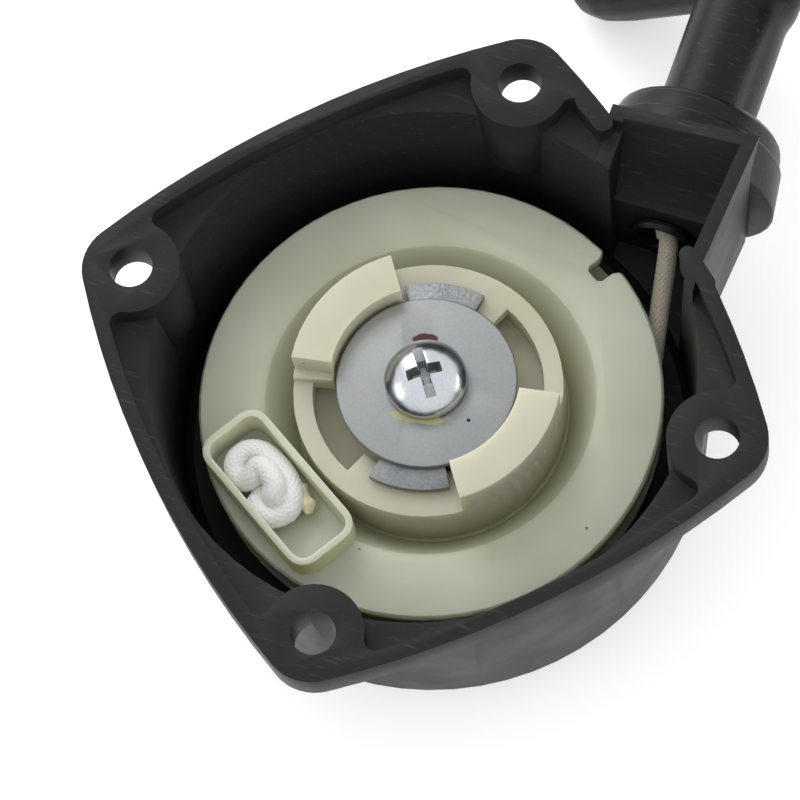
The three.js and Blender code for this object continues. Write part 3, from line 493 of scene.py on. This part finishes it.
def tube(name, path, radii, sides, relief, along=None):
    """A closed tube with a UV map. relief(turns, along) gives its skin's rise and its creases."""
    path = np.array(path, float)
    if along is None:
        along = np.concatenate([[0], np.cumsum(np.linalg.norm(np.diff(path, axis=0), axis=1))])
    ahead = np.gradient(path, axis=0)
    ahead /= np.linalg.norm(ahead, axis=1)[:, None]
    side = Vector(ahead[0]).orthogonal().normalized()
    turns = np.arange(sides) / sides
    vertices, creases = [], []
    for i, centre in enumerate(path):
        front = Vector(ahead[i])
        side = (side - front * side.dot(front)).normalized()
        other = front.cross(side)
        stand, crease = relief(turns, along[i])
        reach = radii[i] + stand
        creases.extend(crease)
        ring = (np.cos(2 * np.pi * turns) * reach)[:, None] * np.array(side) \
            + (np.sin(2 * np.pi * turns) * reach)[:, None] * np.array(other)
        vertices.extend(map(tuple, centre + ring))
    faces, corners = [], []
    rings = len(path)
    for i in range(rings - 1):
        for j in range(sides):
            k = (j + 1) % sides
            faces.append((i * sides + j, i * sides + k, (i + 1) * sides + k, (i + 1) * sides + j))
            corners.extend([(j / sides, along[i]), ((j + 1) / sides, along[i]),
                            ((j + 1) / sides, along[i + 1]), (j / sides, along[i + 1])])
    for start, order in ((0, range(sides - 1, -1, -1)), ((rings - 1) * sides, range(sides))):
        faces.append(tuple(start + j for j in order))
        corners.extend([(0.5, 0.5)] * sides)
    mesh = bpy.data.meshes.new(name)
    mesh.from_pydata(vertices, [], faces)
    layer = mesh.uv_layers.new(name="rope")
    layer.data.foreach_set("uv", np.array([(u, v / (20 * MM)) for u, v in corners], np.float32).ravel())
    mesh.attributes.new("crease", "FLOAT", "POINT").data.foreach_set("value", np.array(creases, np.float32))
    mesh.validate()
    obj = bpy.data.objects.new(name, mesh)
    bpy.context.scene.collection.objects.link(obj)
    pick(obj)
    bpy.ops.object.shade_smooth()
    return obj


def braid(turns, along):
    """Relief of crossed strands: each crossing shows one strand, which dips under at both ends."""
    rise = bpy.context.scene.starter_sizes.strand_rise
    p = turns * CARRIERS + along / PLAIT
    q = turns * CARRIERS - along / PLAIT
    upper = (np.floor(p) + np.floor(q)) % 2 == 0
    across = np.where(upper, p % 1, q % 1)
    lengthwise = np.where(upper, q % 1, p % 1)
    height = np.sin(np.pi * across) ** 0.7 * (0.5 + 0.5 * np.sin(np.pi * lengthwise))
    return rise * (height - 1), 1 - height


def lumpy(rise, size):
    """Relief of melted plastic, with lumps of the given size."""
    def relief(turns, along):
        angles = [2 * math.pi * t for t in turns]
        stand = [noise.noise(Vector((math.cos(a) * 1.3, math.sin(a) * 1.3, along / size))) for a in angles]
        return rise * np.array(stand), 0.5 - 0.5 * np.array(stand)
    return relief


def pocket_point(outwards, sideways, level):
    c, s = math.cos(POCKET), math.sin(POCKET)
    return ((outwards * c - sideways * s) * MM, (outwards * s + sideways * c) * MM, level * MM)


def box_cutter(size, at, turn, draft=1.0):
    """A block for cutting, turned about the reel axis and narrowed towards its foot."""
    bpy.ops.object.select_all(action="DESELECT")
    bpy.ops.mesh.primitive_cube_add(size=1, location=at, scale=size, rotation=(0, 0, turn))
    obj = bpy.context.active_object
    middle = sum(v.co.z for v in obj.data.vertices) / 8
    for vertex in obj.data.vertices:
        if vertex.co.z < middle:
            vertex.co.x *= draft
            vertex.co.y *= draft
    bpy.ops.object.transform_apply(location=True, rotation=True, scale=True)
    return obj


def cut(obj, cutter):
    modify(obj, "BOOLEAN", operation="DIFFERENCE", solver="EXACT", material_mode="TRANSFER", object=cutter)
    mesh = cutter.data
    bpy.data.objects.remove(cutter)
    bpy.data.meshes.remove(mesh)


# ---------- operators ----------

class STARTER_OT_housing(bpy.types.Operator):
    """Makes the housing shell with its rounded and rubbed edges, and the eyelet"""

    bl_idname = "starter.housing"
    bl_label = "Housing"

    def execute(self, context):
        sizes = context.scene.starter_sizes
        edged("starter_housing", "housing_shell", "housing", "housing_nylon", sizes.housing_round,
              ("moulded black nylon", "rubbed nylon edge"))
        eyelet = whole_copy("rope_eyelet", "eyelet")
        wear(eyelet, "moulded black polypropylene")
        modify(eyelet, "BEVEL", width=0.3 * MM, segments=3, limit_method="ANGLE",
               angle_limit=math.radians(25), use_clamp_overlap=True)
        shade(eyelet, 50)
        settle(eyelet, "housing", "grip_plastic", "rope_eyelet")
        for node, name in (("spindle_insert", "turned brass"), ("thrust_washer", "dull zinc plate")):
            wear(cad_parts[node], name)
        return {"FINISHED"}


class STARTER_OT_reel(bpy.types.Operator):
    """Makes the rope reel and the starter cam of natural plastic"""

    bl_idname = "starter.reel"
    bl_label = "Reel and cam"

    def execute(self, context):
        sizes = context.scene.starter_sizes
        edged("rope_reel", "reel_body", "reel", "reel_nylon", sizes.nylon_round,
              ("natural nylon",), segments=3)
        edged("starter_cam", "cam_body", "cam", "cam_nylon", 1.6 * sizes.nylon_round,
              ("cream acetal",), segments=3)
        return {"FINISHED"}


class STARTER_OT_springs(bpy.types.Operator):
    """Finishes the flat recoil spring and the round-wire buffer spring"""

    bl_idname = "starter.springs"
    bl_label = "Springs"

    def execute(self, context):
        wear(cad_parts["recoil_spring"], "oiled spring steel")
        coil = whole_copy("buffer_spring", "buffer_coil")
        wear(coil, "oiled spring steel")
        shade(coil, 60)
        settle(coil, "reel", "spring_steel", "buffer_spring")
        return {"FINISHED"}


class STARTER_OT_centre(bpy.types.Operator):
    """Makes the tab plate, the retaining disc and the pan-head screw"""

    bl_idname = "starter.centre"
    bl_label = "Disc and screw"

    def execute(self, context):
        sizes = context.scene.starter_sizes
        edged("tab_plate", "tab_washer", "cam", "zinc_steel", sizes.metal_round, ("punched zinc plate",))
        edged("retaining_disc", "disc_plate", "housing", "zinc_steel", sizes.metal_round,
              ("zinc plate with paint dab",))
        self.screw(sizes)
        return {"FINISHED"}

    def screw(self, sizes):
        low, high = SCREW
        reach = (high.x - low.x) / 2
        seat = DISC[1].z + SCREW_GAP
        dome_start = seat + SCREW_RIM
        crown = high.z - dome_start
        ball = (reach ** 2 + crown ** 2) / (2 * crown)
        edge = math.asin(reach / ball)
        bpy.ops.object.select_all(action="DESELECT")
        bpy.ops.mesh.primitive_cylinder_add(vertices=96, radius=reach, depth=dome_start - seat,
                                            location=(0, 0, (dome_start + seat) / 2))
        head = bpy.context.active_object
        head.name = "screw_head"
        bpy.ops.object.transform_apply(location=True)
        bpy.ops.object.mode_set(mode="EDIT")
        bpy.ops.mesh.select_mode(type="FACE")
        self.select_end(head, top=True)
        radius, level = reach, dome_start
        for ring in range(1, sizes.dome_rings + 1):
            a = edge * (1 - ring / (sizes.dome_rings + 0.5))
            new_radius = ball * math.sin(a)
            new_level = high.z - ball * (1 - math.cos(a))
            bpy.ops.mesh.extrude_region_move(TRANSFORM_OT_translate={"value": (0, 0, new_level - level)})
            bpy.ops.transform.resize(value=(new_radius / radius, new_radius / radius, 1),
                                     center_override=(0, 0, new_level))
            radius, level = new_radius, new_level
        self.select_end(head, top=False)
        bpy.ops.mesh.inset(thickness=reach - SHANK)
        bpy.ops.mesh.extrude_region_move(TRANSFORM_OT_translate={"value": (0, 0, low.z - seat)})
        bpy.ops.object.mode_set(mode="OBJECT")
        wear(head, "bright zinc plate")
        top = high.z + ABOVE
        # Painted shade: the faces the cutters leave take the darker, duller zinc, as shade in the slot and
        # recess.
        for size, turn, depth, draft in (
                ((5 * reach, sizes.slot_width), SLOT_TURN, sizes.slot_depth, 1.0),
                ((5.2 * MM, 1.7 * MM), SLOT_TURN, RECESS_DEPTH, RECESS_DRAFT),
                ((6.4 * MM, 2.0 * MM), SLOT_TURN + math.pi / 2, RECESS_DEPTH, RECESS_DRAFT)):
            height = depth + ABOVE
            cutter = box_cutter((*size, height), (0, 0, top - height / 2), turn, draft)
            wear(cutter, "dull zinc plate")
            cut(head, cutter)
        modify(head, "BEVEL", width=0.16 * MM, segments=2, limit_method="ANGLE",
               angle_limit=math.radians(30), use_clamp_overlap=True)
        shade(head, 34)
        settle(head, "housing", "screw_zinc", "spindle_screw")

    @staticmethod
    def select_end(obj, top):
        """Selects the face at one end of the screw, in edit mode."""
        bpy.ops.object.mode_set(mode="OBJECT")
        for item in (*obj.data.vertices, *obj.data.edges, *obj.data.polygons):
            item.select = False
        flat = [f for f in obj.data.polygons if abs(f.normal.z) > 0.99]
        (max if top else min)(flat, key=lambda f: f.center.z).select = True
        bpy.ops.object.mode_set(mode="EDIT")


class STARTER_OT_rope(bpy.types.Operator):
    """Lays the braided rope: its turns on the drum, its run to the handle, and the knots"""

    bl_idname = "starter.rope"
    bl_label = "Rope"

    def execute(self, context):
        radius = context.scene.starter_sizes.rope / 2
        self.lead(radius)
        self.winding(radius)
        path = resampled([pocket_point(*p) for p in KNOT_PATH], 0.13 * MM)
        knot = tube("rope_knot_braid", path, np.full(len(path), radius * KNOT_SWELL), 48, braid)
        wear(knot, "clean braided polyester")
        settle(knot, "reel", "knot_rope", "rope_knot")
        path = resampled([pocket_point(*p) for p in TAIL_PATH], 0.12 * MM)
        steps = np.linspace(0, len(TAIL_RADII) - 1, len(path))
        radii = np.interp(steps, range(len(TAIL_RADII)), TAIL_RADII) * MM
        tail = tube("rope_melted_end", path, radii, 36, lumpy(0.3 * MM, 0.9 * MM))
        wear(tail, "melted polyester")
        settle(tail, "reel", "singed_rope", "rope_tail")
        for node, name in (("handle_knot", "clean braided polyester"), ("knot_washer", "dull zinc plate")):
            wear(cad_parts[node], name)
        return {"FINISHED"}

    @staticmethod
    def touch_angle():
        """Direction from the reel axis to where the rope leaves its outermost turn."""
        x, y = STEM_X + EYELET_SIDE, EYELET[0].y
        return math.atan2(y, x) - math.acos(WOUND_RADIUS / math.hypot(x, y))

    def lead(self, radius):
        leave = self.touch_angle()
        bend = Vector((STEM_X + EYELET_SIDE, EYELET[0].y, ROPE_LEVEL))
        start = Vector((WOUND_RADIUS * math.cos(leave), WOUND_RADIUS * math.sin(leave), ROPE_LEVEL))
        points = [start.lerp(bend, t) for t in (0, 0.2, 0.4, 0.6, 0.8, 0.95)]
        points += [(STEM_X + 0.8 * MM, bend.y + 1.6 * MM, ROPE_LEVEL), (STEM_X, STRETCH_START, ROPE_LEVEL)]
        near = resampled(points, 0.14 * MM)
        # Rings in the stretch lie so that they come even when the rope is pulled right out.
        inner = np.linspace(STRETCH_START, STRETCH_END, 20000)
        t = (inner - STRETCH_START) / (STRETCH_END - STRETCH_START)
        paid = inner + PULL_TRAVEL * t * t * (3 - 2 * t)
        even = np.arange(paid[0] + RING_STEP, paid[-1], RING_STEP)
        levels = np.interp(even, paid, inner)
        beyond = np.arange(STRETCH_END, INSERT[1].y, RING_STEP)
        straight = np.concatenate([levels, beyond])
        path = np.vstack([near, np.stack([np.full_like(straight, STEM_X), straight,
                                          np.full_like(straight, ROPE_LEVEL)], 1)])
        so_far = np.concatenate([[0], np.cumsum(np.linalg.norm(np.diff(near, axis=0), axis=1))])
        after = np.concatenate([even - paid[0], beyond - STRETCH_END + paid[-1] - paid[0]]) + so_far[-1]
        rope = tube("rope_lead", path, np.full(len(path), radius), 32, braid, np.concatenate([so_far, after]))
        wear(rope, "braided polyester")
        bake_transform(rope)
        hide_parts("rope_run", "rope_in_handle")

    def winding(self, radius):
        leave = self.touch_angle()
        points = []
        for i in range(97):
            t = i / 96
            around = leave - DRUM_SWEEP * (1 - t)
            turn = DRUM_TURN + (WOUND_RADIUS - DRUM_TURN) * t
            level = ROPE_LEVEL + LIFT * math.sin((1 - t) * DRUM_SWEEP / 2)
            points.append((turn * math.cos(around), turn * math.sin(around), level))
        path = resampled(points, RING_STEP)
        coil = tube("rope_turns", path, np.full(len(path), radius * 0.96), 24, braid)
        wear(coil, "braided polyester")
        settle(coil, "reel", "rope", "rope_winding")


class STARTER_OT_handle(bpy.types.Operator):
    """Makes the T-handle, its collar and its cap"""

    bl_idname = "starter.handle"
    bl_label = "Handle"

    def execute(self, context):
        sizes = context.scene.starter_sizes
        grip = whole_copy("handle_grip", "grip_moulding")
        modify(grip, "REMESH", mode="VOXEL", voxel_size=sizes.grip_voxel, use_smooth_shade=True)
        modify(grip, "SMOOTH", factor=0.5, iterations=7)
        wear(grip, "moulded black polypropylene")
        shade(grip, 60)
        settle(grip, "handle", "grip_plastic", "handle_grip")
        edged("handle_collar", "collar_moulding", "handle", "grip_plastic", 0.25 * MM,
              ("moulded black polypropylene",), segments=3, angle=14)
        edged("handle_cap", "cap_plug", "handle", "grip_plastic", 0.3 * MM,
              ("moulded black polypropylene",), segments=3)
        return {"FINISHED"}


class STARTER_OT_stage(bpy.types.Operator):
    """Sets the floor, the soft studio light and the camera"""

    bl_idname = "starter.stage"
    bl_label = "Stage"

    def execute(self, context):
        size = context.scene.starter_sizes.floor_size
        low = CAD_BOX[0][2]
        bpy.ops.object.select_all(action="DESELECT")
        bpy.ops.mesh.primitive_plane_add(size=size, location=(0, 0, low - FLOOR_GAP))
        floor = context.active_object
        floor.name = "floor"
        wear(floor, "pale paper")
        context.scene.view_settings.view_transform = "Standard"
        world = bpy.data.worlds.new("studio")
        context.scene.world = world
        world.use_nodes = True
        world.node_tree.nodes["Background"].inputs["Color"].default_value = linear("#eceef0")
        world.node_tree.nodes["Background"].inputs["Strength"].default_value = ROOM_LIGHT

        lens = bpy.data.cameras.new("view")
        lens.sensor_width = SENSOR
        lens.lens = LENS
        lens.clip_end = 20
        camera = bpy.data.objects.new("view", lens)
        context.scene.collection.objects.link(camera)
        camera.location = VIEW_PLACE
        camera.rotation_euler = VIEW_TURN
        context.scene.camera = camera

        axes = VIEW_TURN.to_matrix()
        for name, way, distance, side, power in SOFTBOXES:
            light = bpy.data.lights.new(name, "AREA")
            light.shape = "SQUARE"
            light.size = side
            light.energy = power
            lamp = bpy.data.objects.new(name, light)
            context.scene.collection.objects.link(lamp)
            away = axes @ Vector(way).normalized()
            lamp.location = away * distance
            lamp.rotation_euler = away.to_track_quat("Z", "Y").to_euler()
        return {"FINISHED"}


# ---------- panel and registration ----------

STEPS = (STARTER_OT_stage, STARTER_OT_housing, STARTER_OT_reel, STARTER_OT_springs, STARTER_OT_centre,
         STARTER_OT_rope, STARTER_OT_handle)


class STARTER_PT_panel(bpy.types.Panel):
    """Sizes, colours and steps of the starter"""

    bl_idname = "STARTER_PT_panel"
    bl_label = "Recoil starter"
    bl_space_type = "VIEW_3D"
    bl_region_type = "UI"
    bl_category = "Starter"

    def draw(self, context):
        for step in STEPS:
            self.layout.operator(step.bl_idname)
        for group in (context.scene.starter_sizes, context.scene.starter_colours):
            for name in group.__annotations__:
                self.layout.prop(group, name)


CLASSES = (StarterSizes, StarterColours, *STEPS, STARTER_PT_panel)


def register():
    for item in CLASSES:
        bpy.utils.register_class(item)
    bpy.types.Scene.starter_sizes = PointerProperty(type=StarterSizes)
    bpy.types.Scene.starter_colours = PointerProperty(type=StarterColours)


def unregister():
    del bpy.types.Scene.starter_colours
    del bpy.types.Scene.starter_sizes
    for item in reversed(CLASSES):
        bpy.utils.unregister_class(item)


def main():
    register()
    for step in STEPS:
        area, name = step.bl_idname.split(".")
        getattr(getattr(bpy.ops, area), name)()


if __name__ == "__main__":
    main()
